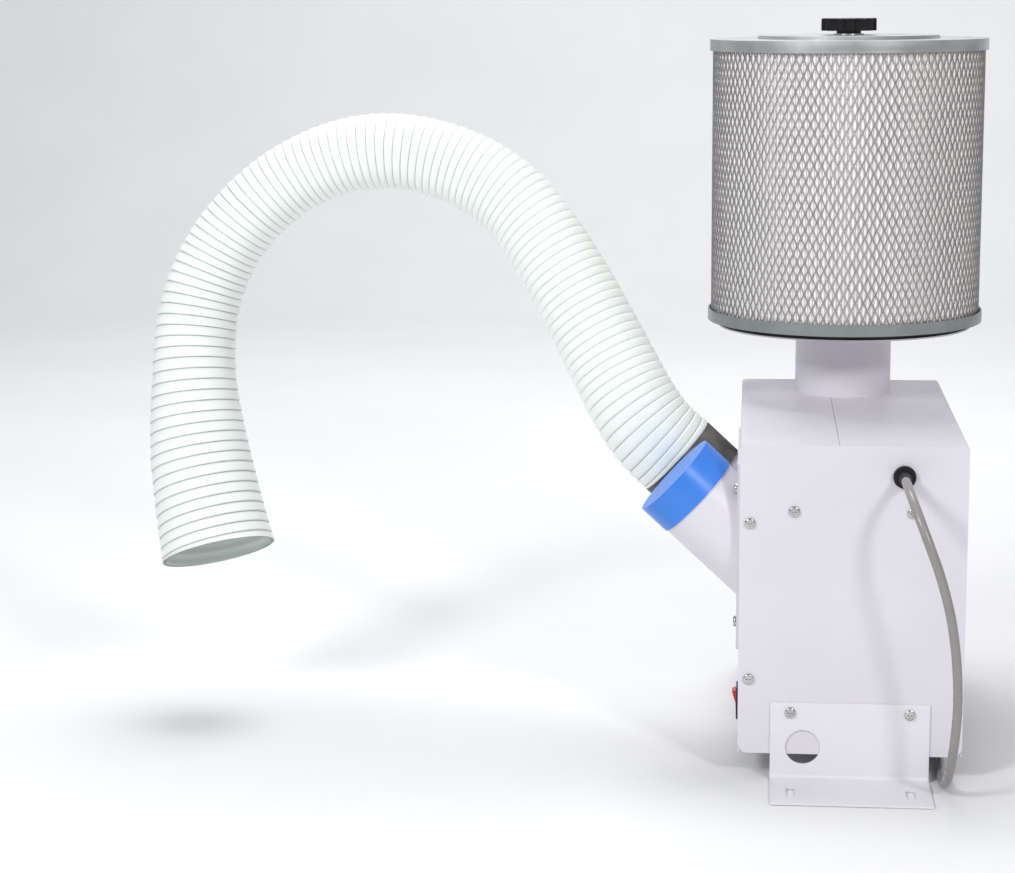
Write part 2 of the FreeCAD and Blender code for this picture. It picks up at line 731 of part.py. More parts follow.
def switch_bezel():
    """Snap-in frame and body, open at the front for the rocker."""
    y, z = SWITCH_Y, SWITCH_Z
    frame = box(-HALF_W - 2, -HALF_W, y - 11.5, y + 11.5, z - 16.5, z + 16.5)
    frame = rounded(frame, 1.2, lambda a, b: a.x < -HALF_W - 1.9 and b.x < -HALF_W - 1.9)
    body = box(-HALF_W, -HALF_W + 24, y - 9.5, y + 9.5, z - 14, z + 14)
    opening = box(-HALF_W - 3, -HALF_W + 16, y - 7, y + 7, z - 13.3, z + 13.3)
    pin_bores = rod(1.25, V(-HALF_W + 1, y - 9, z), Y_AXIS, 18)
    tabs = [box(-HALF_W + 24, -HALF_W + 33, y - 3, y + 3, z + s * 8 - 0.4, z + s * 8 + 0.4) for s in (-1, 0, 1)]
    return joined(frame, body, *tabs).cut([opening, pin_bores])


def switch_rocker():
    """Rocker on a pivot pin, its upper end out."""
    radius, half_width, front, end = 12.8, 6.7, 3.6, 5.4
    disc = rod(radius, V(0, -half_width, 0), Y_AXIS, 2 * half_width)
    outline = [V(-front, -half_width, 0), V(-end, -half_width, 14), V(8, -half_width, 14),
               V(8, -half_width, -14), V(-end, -half_width, -14)]
    rocker = disc.common(prism(outline, V(0, 2 * half_width, 0)))
    pin = rod(1.2, V(0, -8.8, 0), Y_AXIS, 17.6)
    rocker = joined(rocker, pin).rotated(V(0, 0, 0), Y_AXIS, -ROCKER_TILT)
    return rocker.translated(V(-HALF_W + 1, SWITCH_Y, SWITCH_Z))


# Power cord

def cord_bushing():
    """Strain relief: barrel through the panel, round flange and tapered nose."""
    outward = V(0, -1, 0)
    barrel = rod(BUSHING_BARREL_R, V(BUSHING_X, -HALF_D + 9, BUSHING_Z), outward, 9)
    flange = rod(10.75, V(BUSHING_X, -HALF_D, BUSHING_Z), outward, 4.5)
    nose = Part.makeCone(6.8, 5.3, BUSHING_LENGTH - 4.5, V(BUSHING_X, -HALF_D - 4.5, BUSHING_Z), outward)
    return joined(barrel, flange, nose)


def cord_tube(route, name):
    """Straight runs joined by tangent arcs, as large as the runs beside them allow."""
    points = [V(*p) for p in route]
    edges = []
    radii = []
    start = points[0]
    for before, corner, after in zip(points, points[1:], points[2:]):
        arriving = (corner - before).normalize()
        leaving = (after - corner).normalize()
        turn = arriving.getAngle(leaving)
        trim = 0.45 * min((corner - before).Length, (after - corner).Length)
        radius = trim / math.tan(turn / 2)
        radii.append(round(radius))
        first = corner - arriving * trim
        last = corner + leaving * trim
        inward = (leaving - arriving).normalize()
        middle = corner + inward * (radius / math.cos(turn / 2) - radius)
        edges.append(Part.LineSegment(start, first).toShape())
        edges.append(Part.Arc(first, middle, last).toShape())
        start = last
    edges.append(Part.LineSegment(start, points[-1]).toShape())
    path = Part.Wire(edges)
    direction = (points[1] - points[0]).normalize()
    section = Part.Wire([Part.makeCircle(CORD_R, points[0], direction)])
    tube = path.makePipeShell([section], True, False)
    expected = math.pi * CORD_R ** 2 * path.Length
    print(f"{name}: length {path.Length:.0f}, arc radii {radii}, volume ratio {tube.Volume / expected:.4f}")
    return tube


def cord_coil():
    half = 2 * CORD_R
    return ring(COIL_R + half, COIL_R - half, V(COIL_X, COIL_Y, 0), Z_AXIS, 2 * half)


def plug_direction():
    return (V(*PLUG_LEAD[-1]) - V(*PLUG_LEAD[-2])).normalize()


def power_plug():
    """Moulded three-pin plug with a tapered tail, lying flat."""
    tail_start = V(*PLUG_LEAD[-1])
    body = box(0, 32, -13, 13, -11, 11)
    body = body.makeFillet(4.0, [e for e in body.Edges if e.BoundBox.XMin < 31])
    tail = Part.makeCone(5.4, 8.5, 18, V(-18, 0, 0), X_AXIS)
    plug = joined(body, tail)
    along = plug_direction()
    flat = V(along.x, along.y, 0).normalize()
    plug.Placement = FreeCAD.Placement(tail_start + flat * 18, FreeCAD.Rotation(X_AXIS, flat))
    return plug


def plug_pins():
    """Two flat blades and a round earth pin."""
    along = plug_direction()
    flat = V(along.x, along.y, 0).normalize()
    blades = [box(32, 49, y - 0.8, y + 0.8, -3.2 + 3, 3.2 + 3) for y in (-6.3, 6.3)]
    earth = rod(2.4, V(32, 0, -5.5), X_AXIS, 20)
    pins = group(blades + [earth])
    pins.Placement = FreeCAD.Placement(V(*PLUG_LEAD[-1]) + flat * 18, FreeCAD.Rotation(X_AXIS, flat))
    return pins


def all_nodes():
    near_bracket = bench_bracket_near()
    far_panel = mirrored(side_panel())
    nodes = {
        "left_shell": left_shell(),
        "right_shell": right_shell(),
        "side_panel_near": side_panel_near(),
        "side_panel_far": far_panel,
        "bottom_pan": bottom_pan(),
        "panel_stiffeners": panel_stiffeners(),
        "bench_bracket_near": near_bracket,
        "bench_bracket_far": mirrored(near_bracket),
        "side_panel_screws": side_panel_screws(),
        "bracket_screws": bracket_screws(),
        "bracket_nuts": bracket_nuts(),
        "inlet_plate": inlet_plate(),
        "inlet_plate_screws": inlet_plate_screws(),
        "inlet_tube_near": inlet_tube(INLET_NEAR_Y, INLET_REACH - 2 * CAP_WALL),
        "inlet_tube_far": inlet_tube(INLET_FAR_Y, INLET_REACH),
        "inlet_cap": inlet_cap(),
        "hose_cuff": hose_cuff(),
        "hose_collar": hose_collar(),
        "exhaust_tube": exhaust_tube(),
        "filter_seat_flange": filter_seat_flange(),
        "rod_spider": rod_spider(),
        "tie_rod": tie_rod(),
        "rod_nuts": rod_nuts(),
        "filter_gasket": filter_gasket(),
        "filter_bottom_cap": filter_bottom_cap(),
        "filter_top_cap": filter_top_cap(),
        "filter_outer_mesh": filter_sleeve(142.2),
        "filter_inner_liner": filter_sleeve(99.0),
        "filter_media": filter_media(),
        "knob_washer": knob_washer(),
        "filter_knob": filter_knob(),
        "blower_scroll": blower_scroll(),
        "impeller": impeller(),
        "motor_shaft": motor_shaft(),
        "motor_rotor": motor_rotor(),
        "motor_stator": motor_stator(),
        "motor_front_bell": motor_front_bell(),
        "motor_can": motor_can(),
        "motor_bearings": motor_bearings(),
        "motor_screws": motor_screws(),
        "run_capacitor": run_capacitor(),
        "capacitor_clip": capacitor_clip(),
        "terminal_block": terminal_block(),
        "switch_bezel": switch_bezel(),
        "switch_rocker": switch_rocker(),
        "cord_bushing": cord_bushing(),
        "power_cord": cord_tube(CORD_ROUTE, "power_cord"),
        "cord_coil": cord_coil(),
        "plug_lead": cord_tube(PLUG_LEAD, "plug_lead"),
        "power_plug": power_plug(),
        "plug_pins": plug_pins(),
    }
    edge = hose_edge()
    for i, section in enumerate(hose_sections(edge), 1):
        nodes[f"hose_section_{i}"] = section
    for i, flex in enumerate(hose_flexes(edge), 1):
        nodes[f"hose_flex_{i}"] = flex
    return nodes


def main():
    os.makedirs("parts", exist_ok=True)
    for name, shape in all_nodes().items():
        if not shape.isValid():
            print("not valid:", name)
        shape.exportStep(f"parts/{name}.step")


if __name__ == "__main__":
    main()
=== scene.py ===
import json
import math

import bmesh
import bpy
import numpy as np
from mathutils import Matrix, Vector


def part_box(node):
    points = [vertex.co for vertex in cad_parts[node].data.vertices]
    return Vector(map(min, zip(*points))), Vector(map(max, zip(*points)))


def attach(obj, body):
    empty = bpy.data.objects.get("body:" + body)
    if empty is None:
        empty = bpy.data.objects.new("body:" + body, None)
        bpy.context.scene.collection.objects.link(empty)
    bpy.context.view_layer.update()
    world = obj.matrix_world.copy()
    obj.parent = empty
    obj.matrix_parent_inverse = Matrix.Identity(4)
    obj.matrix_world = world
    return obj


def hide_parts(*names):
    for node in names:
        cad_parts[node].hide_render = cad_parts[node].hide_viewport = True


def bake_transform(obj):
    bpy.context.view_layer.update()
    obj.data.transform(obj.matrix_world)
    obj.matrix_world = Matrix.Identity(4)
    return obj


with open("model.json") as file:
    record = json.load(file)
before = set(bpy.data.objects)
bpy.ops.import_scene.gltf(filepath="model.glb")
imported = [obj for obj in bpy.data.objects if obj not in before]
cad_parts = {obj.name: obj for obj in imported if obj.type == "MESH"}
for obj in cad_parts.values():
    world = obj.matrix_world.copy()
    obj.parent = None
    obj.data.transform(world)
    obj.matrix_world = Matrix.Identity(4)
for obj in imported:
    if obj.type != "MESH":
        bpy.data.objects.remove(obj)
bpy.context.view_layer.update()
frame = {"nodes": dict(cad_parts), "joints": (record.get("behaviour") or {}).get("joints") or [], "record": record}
NODES = frame["nodes"]
JOINTS = {j["name"]: j for j in frame["joints"]}

# Lengths are in metres and angles in radians unless a name or comment says otherwise

# Camera, with its lens and sensor width in millimetres
CAMERA_PLACE = (-0.1010, -2.4766, 0.7575)
CAMERA_YAW = 0.1006
CAMERA_PITCH = 0.1823
CAMERA_ROLL = -0.0073
CAMERA_LENS = 85.9
CAMERA_SENSOR = 36

# World light, then the lamps: name, place, aim, diameter, watts and tint
WORLD_TINT = (0.95, 0.97, 1.0, 1)
WORLD_STRENGTH = 0.46
LIGHTS = (
    ("key", (1.5, -2.7, 2.0), (-0.05, 0, 0.3), 0.5, 34, (1.0, 0.98, 0.96)),
    ("fill", (-1.9, -2.3, 2.1), (-0.2, 0, 0.4), 0.8, 48, (0.96, 0.98, 1.0)),
    ("top", (-0.4, 0.8, 2.7), (-0.2, 0, 0.3), 1.4, 38, (1, 1, 1)),
    ("backdrop", (0, 1.6, 3.2), (0, 5.0, 1.2), 2.0, 55, (1, 1, 1)),
)

# Floor: flat to FLOOR_BACK, then a quarter circle up into the backdrop
FLOOR_HALF = 6.0
FLOOR_BACK = 3.0
FLOOR_RISE = 1.6
BACKDROP_TOP = 4.0
FLOOR_STEPS = 24
FLOOR_DROP = 0.0006

# Hose: the points of its centre line, each with the outer radius there
HOSE_POINTS = [
    (-0.235, -0.022, 0.370, 0.0445),
    (-0.300, 0.025, 0.480, 0.0420),
    (-0.355, 0.055, 0.545, 0.0405),
    (-0.425, 0.072, 0.581, 0.0395),
    (-0.500, 0.079, 0.590, 0.0390),
    (-0.575, 0.083, 0.568, 0.0380),
    (-0.640, 0.079, 0.518, 0.0385),
    (-0.685, 0.068, 0.440, 0.0415),
    (-0.693, 0.046, 0.350, 0.0445),
    (-0.684, 0.024, 0.273, 0.0527),
    (-0.659, -0.012, 0.173, 0.0595),
]
# The foot leaves the inlet square to it: its radius and gap, a straight lead and how much the hose narrows
# over it, and the distance over which the hose turns to its own line
HOSE_FOOT_R = 0.046
HOSE_FOOT_GAP = 0.0004
HOSE_LEAD = 0.025
HOSE_LEAD_TAPER = 0.0003
HOSE_SQUARE_REACH = 0.02
# Distance between the strip's windings, at shares of the hose's length
HOSE_PITCHES = [
    (0.0, 0.0098), (0.25, 0.0094), (0.68, 0.0092),
    (0.80, 0.0122), (0.93, 0.0122), (1.0, 0.0105),
]
# Shares of the length where one skin ends and the next begins
HOSE_CUTS = (0.315, 0.625)
# Samples along the centre line, and facets round it
HOSE_SAMPLES = 1600
HOSE_ROUND = 96
# The wall, and how far its inside waves over each winding
HOSE_WALL = 0.0022
HOSE_WALL_WAVE = 0.0004

# Wound strip: its lean over one winding, the winding's level point, its crown, the groove at the seam,
# and the painted shade on the inner wall
STRIP_LEAN = 0.0016
STRIP_LEVEL = 0.45
STRIP_CROWN = 0.0003
SEAM_DEPTH = 0.0011
INNER_PAINTED_SHADE = 0.35
# Places over one winding of the strip, each with how far it lies in the seam groove, which sets both the groove's
# depth and the painted shade there
STRIP_ROWS = (
    (0.0, 1.0), (0.05, 0.55), (0.10, 0.0), (0.35, 0.0),
    (0.62, 0.0), (0.84, 0.0), (0.93, 0.0), (0.972, 0.35),
)

# Power cord: the route of its tube, then the coil's turns and the lead to the plug
CORD_R = 0.0045
CORD_ROUTE = [
    (0.0473, -0.2210, 0.3010),
    (0.0480, -0.2470, 0.2995),
    (0.0535, -0.2740, 0.2860),
    (0.0640, -0.2890, 0.2590),
    (0.0780, -0.2940, 0.2220),
    (0.0900, -0.2920, 0.1740),
    (0.0960, -0.2860, 0.1120),
    (0.0940, -0.2810, 0.0660),
    (0.0910, -0.2660, 0.0300),
    (0.0885, -0.2380, 0.0070),
    (0.0895, -0.1980, 0.0047),
    (0.0915, -0.1450, 0.0046),
    (0.0940, -0.0870, 0.0047),
    (0.0930, -0.0280, 0.0046),
    (0.0905, 0.0310, 0.0047),
    (0.0910, 0.0900, 0.0046),
    (0.0935, 0.1480, 0.0047),
    (0.0945, 0.2050, 0.0046),
    (0.0925, 0.2600, 0.0047),
    (0.0920, 0.3060, 0.0046),
]
PLUG_LEAD = [
    (0.0170, 0.4005, 0.0133),
    (-0.0030, 0.4015, 0.0124),
    (-0.0220, 0.4035, 0.0115),
]

# Coil of spare cord: points in a turn, turns in all, and the turns where it steps inwards and then upwards
COIL_PER_TURN = 16
COIL_TURNS = 3.25
COIL_IN_AT, COIL_IN_OVER = 0.9, 0.2
COIL_UP_AT, COIL_UP_OVER = 1.9, 0.25

# Expanded metal round the filter: width and height of a diamond, then its strands
MESH_PITCH = 0.0081
MESH_ROW = 0.0164
STRAND_WIDTH = 0.00115
STRAND_DEPTH = 0.0007
STRAND_TILT = 0.00015
# How far a strand stays short of midway to its neighbour, as a share of its half width: below 1 they overlap
KNUCKLE_SHORT = 0.6

# Paper behind the expanded metal
PAPER_PLEATS = 210
PAPER_CLEARANCE = 0.0014
PAPER_BACK_R = 0.1010
# Pleats differ: by how much, the two rates that vary it round the ring, and the share that shows in depth
PAPER_UNEVEN = 0.0006
PAPER_FAST, PAPER_SLOW = 2.4, 0.37
PAPER_UNEVEN_DEPTH = 0.3
# Depth below the tip at shares of one pleat
PLEAT_SHAPE = (
    (0.0, 0.0), (0.18, 0.0002), (0.34, 0.0007), (0.46, 0.0026),
    (0.54, 0.0026), (0.66, 0.0007), (0.82, 0.0002),
)

# Rounded edges, by width and node
EDGE_ANGLE_DEG = 50
EDGE_WIDTHS = (
    (0.0005, ("left_shell", "right_shell", "side_panel_near", "side_panel_far", "inlet_plate",
              "bench_bracket_near", "bench_bracket_far", "exhaust_tube",
              "filter_top_cap", "filter_bottom_cap")),
    (0.0003, ("inlet_tube_near", "inlet_tube_far", "switch_bezel", "switch_rocker", "cord_bushing",
              "inlet_cap", "hose_cuff", "power_plug", "knob_washer")),
    (0.0010, ("filter_knob",)),
)


# Shared helpers

def mesh_object(name, vertices, faces, smooth=True):
    mesh = bpy.data.meshes.new(name)
    mesh.from_pydata([tuple(v) for v in vertices], [], [tuple(f) for f in faces])
    mesh.validate()
    if smooth:
        mesh.shade_smooth()
    obj = bpy.data.objects.new(name, mesh)
    bpy.context.scene.collection.objects.link(obj)
    return obj


def dress(obj, mat):
    obj.data.materials.clear()
    obj.data.materials.append(mat)
    return obj


# Materials

class Recipe:
    """A procedural material: noise layers that drive colour, roughness and bump."""

    def __init__(self, name, roughness=0.5, metallic=0.0, **sockets):
        self.mat = bpy.data.materials.new(name)
        self.mat.use_nodes = True
        self.tree = self.mat.node_tree
        self.bsdf = self.tree.nodes["Principled BSDF"]
        self.bsdf.inputs["Roughness"].default_value = roughness
        self.bsdf.inputs["Metallic"].default_value = metallic
        for socket, value in sockets.items():
            self.bsdf.inputs[socket.replace("_", " ")].default_value = value
        self.coords = self.tree.nodes.new("ShaderNodeTexCoord").outputs["Object"]
        self.normal = None

    def noise(self, scale, stretch=(1, 1, 1), detail=4.0):
        mapping = self.tree.nodes.new("ShaderNodeMapping")
        mapping.inputs["Scale"].default_value = stretch
        noise = self.tree.nodes.new("ShaderNodeTexNoise")
        noise.inputs["Scale"].default_value = scale
        noise.inputs["Detail"].default_value = detail
        self.tree.links.new(self.coords, mapping.inputs["Vector"])
        self.tree.links.new(mapping.outputs["Vector"], noise.inputs["Vector"])
        return noise.outputs["Fac"]

    def colour(self, source, dark, light, low=0.35, high=0.65):
        ramp = self.tree.nodes.new("ShaderNodeValToRGB")
        ramp.color_ramp.elements[0].position = low
        ramp.color_ramp.elements[0].color = (*dark, 1)
        ramp.color_ramp.elements[1].position = high
        ramp.color_ramp.elements[1].color = (*light, 1)
        self.tree.links.new(source, ramp.inputs["Fac"])
        self.tree.links.new(ramp.outputs["Color"], self.bsdf.inputs["Base Color"])
        return self

    def shine(self, source, smooth, rough):
        spread = self.tree.nodes.new("ShaderNodeMapRange")
        spread.inputs["From Min"].default_value = 0.3
        spread.inputs["From Max"].default_value = 0.7
        spread.inputs["To Min"].default_value = smooth
        spread.inputs["To Max"].default_value = rough
        self.tree.links.new(source, spread.inputs["Value"])
        self.tree.links.new(spread.outputs["Result"], self.bsdf.inputs["Roughness"])
        return self

    def bump(self, source, strength, distance):
        bump = self.tree.nodes.new("ShaderNodeBump")
        bump.inputs["Strength"].default_value = strength
        bump.inputs["Distance"].default_value = distance
        self.tree.links.new(source, bump.inputs["Height"])
        if self.normal:
            self.tree.links.new(self.normal, bump.inputs["Normal"])
        self.normal = bump.outputs["Normal"]
        self.tree.links.new(self.normal, self.bsdf.inputs["Normal"])
        return self


def powder_coat(name, tone):
    """Fine orange-peel powder coat, a little uneven in tone and gloss."""
    recipe = Recipe(name, IOR=1.5)
    broad = recipe.noise(9, detail=3)
    peel = recipe.noise(520, detail=3)
    recipe.colour(broad, [c * 0.965 for c in tone], tone)
    recipe.shine(recipe.noise(40), 0.34, 0.48)
    return recipe.bump(peel, 0.12, 0.0003).mat


def galvanised(name, tone, stretch):
    """Rolled zinc-coated sheet with fine lines along one direction and faint cloudy spangle."""
    recipe = Recipe(name, metallic=1.0)
    lines = recipe.noise(60, stretch, detail=6)
    recipe.colour(recipe.noise(26, detail=5), [c * 0.72 for c in tone], tone, 0.3, 0.7)
    recipe.shine(lines, 0.24, 0.46)
    return recipe.bump(lines, 0.15, 0.0003).mat


def moulded(name, dark, light, smooth, rough, grain=900, depth=0.1, ior=1.48):
    """Moulded plastic or rubber with a fine grain."""
    recipe = Recipe(name, IOR=ior)
    recipe.colour(recipe.noise(35), dark, light)
    recipe.shine(recipe.noise(140), smooth, rough)
    return recipe.bump(recipe.noise(grain, detail=2), depth, 0.0002).mat


def bright_metal(name, tone, smooth=0.18, rough=0.34):
    """Plated or ground metal with hairline marks."""
    recipe = Recipe(name, metallic=1.0)
    marks = recipe.noise(300, (1, 1, 0.15), detail=4)
    recipe.colour(recipe.noise(80), [c * 0.8 for c in tone], tone)
    recipe.shine(marks, smooth, rough)
    return recipe.bump(marks, 0.06, 0.0002).mat


def paper(name):
    """Pleated filter paper with visible fibres."""
    recipe = Recipe(name, roughness=0.95, IOR=1.35)
    fibres = recipe.noise(700, (1, 1, 0.3), detail=6)
    recipe.colour(fibres, (0.92, 0.89, 0.885), (0.98, 0.96, 0.955), 0.3, 0.7)
    return recipe.bump(fibres, 0.4, 0.0004).mat


def hose_plastic(name):
    """Slightly translucent white vinyl strip, with painted shade, darker and greener, in its seam grooves and over
    its inner wall.
    """
    recipe = Recipe(name, IOR=1.46, Subsurface_Weight=0.1, Subsurface_Scale=0.003)
    recipe.bsdf.inputs["Subsurface Radius"].default_value = (0.9, 1.0, 0.9)
    tree = recipe.tree
    groove_and_shade = tree.nodes.new("ShaderNodeAttribute")
    groove_and_shade.attribute_name = "groove_and_shade"
    cloud_and_shade = tree.nodes.new("ShaderNodeMath")
    cloud_and_shade.operation = "MULTIPLY_ADD"
    cloud_and_shade.inputs[1].default_value = 0.22
    tree.links.new(recipe.noise(14, detail=5), cloud_and_shade.inputs[0])
    tree.links.new(groove_and_shade.outputs["Fac"], cloud_and_shade.inputs[2])
    # The dark end of the ramp is painted shade in the seam grooves and on the inner wall; the noise cloud is the
    # vinyl's own uneven tone.
    recipe.colour(cloud_and_shade.outputs["Value"], (0.86, 0.90, 0.86), (0.50, 0.56, 0.53), 0.06, 1.0)
    recipe.shine(recipe.noise(90), 0.34, 0.52)
    return recipe.bump(recipe.noise(420, detail=3), 0.14, 0.0003).mat


def floor_paper(name):
    """Matt pale paper, a little uneven."""
    recipe = Recipe(name, roughness=0.9)
    recipe.colour(recipe.noise(3, detail=3), (0.78, 0.78, 0.785), (0.80, 0.80, 0.805))
    return recipe.bump(recipe.noise(180, detail=3), 0.04, 0.0004).mat


# Zinc-coated sheet: its own tone, a darker tone that paints shade on the filter's lower cap, and the stretch of
# its rolling lines
BRIGHT_ZINC = (0.64, 0.66, 0.66)
SHADED_ZINC = (0.40, 0.43, 0.43)
SHEET_GRAIN = (0.06, 0.06, 1.0)

MATERIALS = {
    "powder_white": powder_coat("powder_white", (0.70, 0.675, 0.725)),
    "bracket_white": powder_coat("bracket_white", (0.77, 0.75, 0.79)),
    "galvanised": galvanised("galvanised", BRIGHT_ZINC, SHEET_GRAIN),
    "mesh_steel": bright_metal("mesh_steel", (0.44, 0.42, 0.41), 0.3, 0.5),
    "media_paper": paper("media_paper"),
    "zinc": bright_metal("zinc", (0.60, 0.60, 0.59), 0.14, 0.28),
    "ground_steel": bright_metal("ground_steel", (0.66, 0.66, 0.68)),
    "core_steel": bright_metal("core_steel", (0.25, 0.25, 0.27), 0.35, 0.55),
    "gasket_black": moulded("gasket_black", (0.012, 0.012, 0.012), (0.03, 0.03, 0.03),
                            0.6, 0.85, grain=500, depth=0.3),
    "knob_black": moulded("knob_black", (0.008, 0.008, 0.009), (0.018, 0.018, 0.02),
                          0.10, 0.20, grain=300, depth=0.04, ior=1.30),
    "black_plastic": moulded("black_plastic", (0.008, 0.008, 0.009), (0.018, 0.018, 0.02),
                             0.3, 0.5, ior=1.34),
    "impeller_plastic": moulded("impeller_plastic", (0.03, 0.03, 0.03), (0.06, 0.06, 0.06), 0.4, 0.6),
    "rocker_red": moulded("rocker_red", (0.55, 0.02, 0.015), (0.68, 0.035, 0.025),
                          0.15, 0.3, grain=500, depth=0.04),
    "vinyl_blue": moulded("vinyl_blue", (0.038, 0.200, 0.690), (0.044, 0.215, 0.730),
                          0.30, 0.35, grain=260, depth=0.02),
    "cuff_grey": moulded("cuff_grey", (0.045, 0.041, 0.038), (0.15, 0.14, 0.13),
                         0.4, 0.7, grain=240, depth=0.3),
    "hose_white": hose_plastic("hose_white"),
    "cord_grey": moulded("cord_grey", (0.255, 0.245, 0.232), (0.275, 0.265, 0.25),
                         0.24, 0.29, grain=380, depth=0.02),
    "pin_brass": bright_metal("pin_brass", (0.78, 0.58, 0.28)),
}


def dress_nodes():
    """Every CAD node takes the detailed material of its slot; the filter's lower cap takes a darker copy as
    painted shade.
    """
    for part in frame["record"]["subparts"]:
        dress(NODES[part["node"]], MATERIALS[part["material_slot"]])
    # The filter's lower cap is darkened with painted shade.
    dress(NODES["filter_bottom_cap"], galvanised("galvanised_painted_shade", SHADED_ZINC, SHEET_GRAIN))


def soften_edges():
    """Small rounded edges on the folded sheet and moulded pieces, so that they catch the light."""
    for width, names in EDGE_WIDTHS:
        for name in names:
            bevel = NODES[name].modifiers.new("edge", "BEVEL")
            bevel.width = width
            bevel.segments = 2
            bevel.limit_method = "ANGLE"
            bevel.angle_limit = math.radians(EDGE_ANGLE_DEG)
            bevel.harden_normals = True


# Camera, lights and floor

def make_camera():
    """Camera at its place, turned left by its yaw, down by its pitch, then rolled."""
    sy, cy = math.sin(CAMERA_YAW), math.cos(CAMERA_YAW)
    sp, cp = math.sin(CAMERA_PITCH), math.cos(CAMERA_PITCH)
    forward = Vector((-sy * cp, cy * cp, -sp))
    right = Vector((cy, sy, 0))
    up = right.cross(forward)
    roll_right = math.cos(CAMERA_ROLL) * right + math.sin(CAMERA_ROLL) * up
    roll_up = math.cos(CAMERA_ROLL) * up - math.sin(CAMERA_ROLL) * right
    turn = Matrix((roll_right, roll_up, -forward)).transposed().to_4x4()
    data = bpy.data.cameras.new("camera")
    data.lens = CAMERA_LENS
    data.sensor_width = CAMERA_SENSOR
    data.clip_end = 60
    camera = bpy.data.objects.new("camera", data)
    camera.matrix_world = Matrix.Translation(CAMERA_PLACE) @ turn
    bpy.context.scene.collection.objects.link(camera)
    bpy.context.scene.camera = camera


def area_light(name, place, aim, size, power, tint):
    data = bpy.data.lights.new(name, "AREA")
    data.shape = "DISK"
    data.size = size
    data.energy = power
    data.color = tint
    lamp = bpy.data.objects.new(name, data)
    lamp.location = place
    lamp.rotation_euler = (Vector(aim) - Vector(place)).to_track_quat("-Z", "Y").to_euler()
    bpy.context.scene.collection.objects.link(lamp)


def make_studio():
    world = bpy.data.worlds.new("studio")
    world.use_nodes = True
    background = world.node_tree.nodes["Background"]
    background.inputs["Color"].default_value = WORLD_TINT
    background.inputs["Strength"].default_value = WORLD_STRENGTH
    bpy.context.scene.world = world
    bpy.context.scene.view_settings.view_transform = "Standard"
    for light in LIGHTS:
        area_light(*light)


def make_floor():
    """Pale floor that curves up into a backdrop far behind the object."""
    profile = [(-FLOOR_HALF, 0.0), (FLOOR_BACK, 0.0)]
    for i in range(1, FLOOR_STEPS + 1):
        angle = math.pi / 2 * i / FLOOR_STEPS
        profile.append((FLOOR_BACK + FLOOR_RISE * math.sin(angle), FLOOR_RISE - FLOOR_RISE * math.cos(angle)))
    profile.append((FLOOR_BACK + FLOOR_RISE, BACKDROP_TOP))
    vertices = [(x, y, z - FLOOR_DROP) for y, z in profile for x in (-FLOOR_HALF, FLOOR_HALF)]
    faces = [(2 * i, 2 * i + 1, 2 * i + 3, 2 * i + 2) for i in range(len(profile) - 1)]
    floor = mesh_object("studio_floor", vertices, faces)
    dress(floor, floor_paper("floor_paper"))


# Power cord

def coil_points():
    """Three and a quarter turns inside the coil's space: outer and inner turns below, the last on top."""
    low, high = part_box("cord_coil")
    middle = (low + high) / 2
    outer = (high.x - low.x) / 2 - CORD_R
    inner = outer - 2 * CORD_R
    top = high.z - CORD_R
    # The spline runs inside its corner points, so they lie outside the turn by this much
    grow = 1 / math.cos(math.pi / COIL_PER_TURN)
    points = []
    for i in range(1, round(COIL_PER_TURN * COIL_TURNS) + 1):
        turn = i / COIL_PER_TURN
        angle = 2 * math.pi * turn
        step_in = min(max(turn - COIL_IN_AT, 0) / COIL_IN_OVER, 1)
        step_up = min(max(turn - COIL_UP_AT, 0) / COIL_UP_OVER, 1)
        radius = outer + (inner - outer) * step_in + (outer - inner) / 2 * step_up
        height = CORD_R + (top - CORD_R) * step_up
        points.append((middle.x + radius * grow * math.cos(angle),
                       middle.y + radius * grow * math.sin(angle), height))
    return points


def make_cord():
    """The whole power cord as one curve: its route, the coil and the lead to the plug."""
    points = CORD_ROUTE + coil_points() + PLUG_LEAD
    curve = bpy.data.curves.new("mains_cord", "CURVE")
    curve.dimensions = "3D"
    curve.bevel_depth = CORD_R
    curve.bevel_resolution = 8
    curve.resolution_u = 8
    curve.use_fill_caps = True
    spline = curve.splines.new("NURBS")
    spline.points.add(len(points) - 1)
    for spot, point in zip(spline.points, points):
        spot.co = (*point, 1)
    spline.order_u = 3
    spline.use_endpoint_u = True
    cord = bpy.data.objects.new("mains_cord", curve)
    bpy.context.scene.collection.objects.link(cord)
    dress(cord, MATERIALS["cord_grey"])
    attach(cord, "housing")
    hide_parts("power_cord", "cord_coil", "plug_lead")


# Hose

def hose_line():
    """Smooth curve through the hose's points: fine places, tangents, distances and radii along it."""
    pivot = Vector(JOINTS["hose_swivel"]["pos_m"])
    out = Vector(JOINTS["hose_swivel"]["axis"])
    start = pivot + out * HOSE_FOOT_GAP
    places = np.array([start, start + out * HOSE_LEAD] + [p[:3] for p in HOSE_POINTS])
    radii = np.array([HOSE_FOOT_R, HOSE_FOOT_R - HOSE_LEAD_TAPER] + [p[3] for p in HOSE_POINTS])
    chord = np.r_[0, np.cumsum(np.linalg.norm(np.diff(places, axis=0), axis=1))]
    fine = np.linspace(0, chord[-1], HOSE_SAMPLES)
    line = natural_spline(chord, places, fine)
    along = np.r_[0, np.cumsum(np.linalg.norm(np.diff(line, axis=0), axis=1))]
    radius = np.interp(fine, chord, radii)
    tangent = np.gradient(line, along, axis=0)
    square = np.exp(-along / HOSE_SQUARE_REACH)[:, None]
    tangent = tangent * (1 - square) + np.array(out) * square
    tangent /= np.linalg.norm(tangent, axis=1)[:, None]
    return along, line, tangent, radius


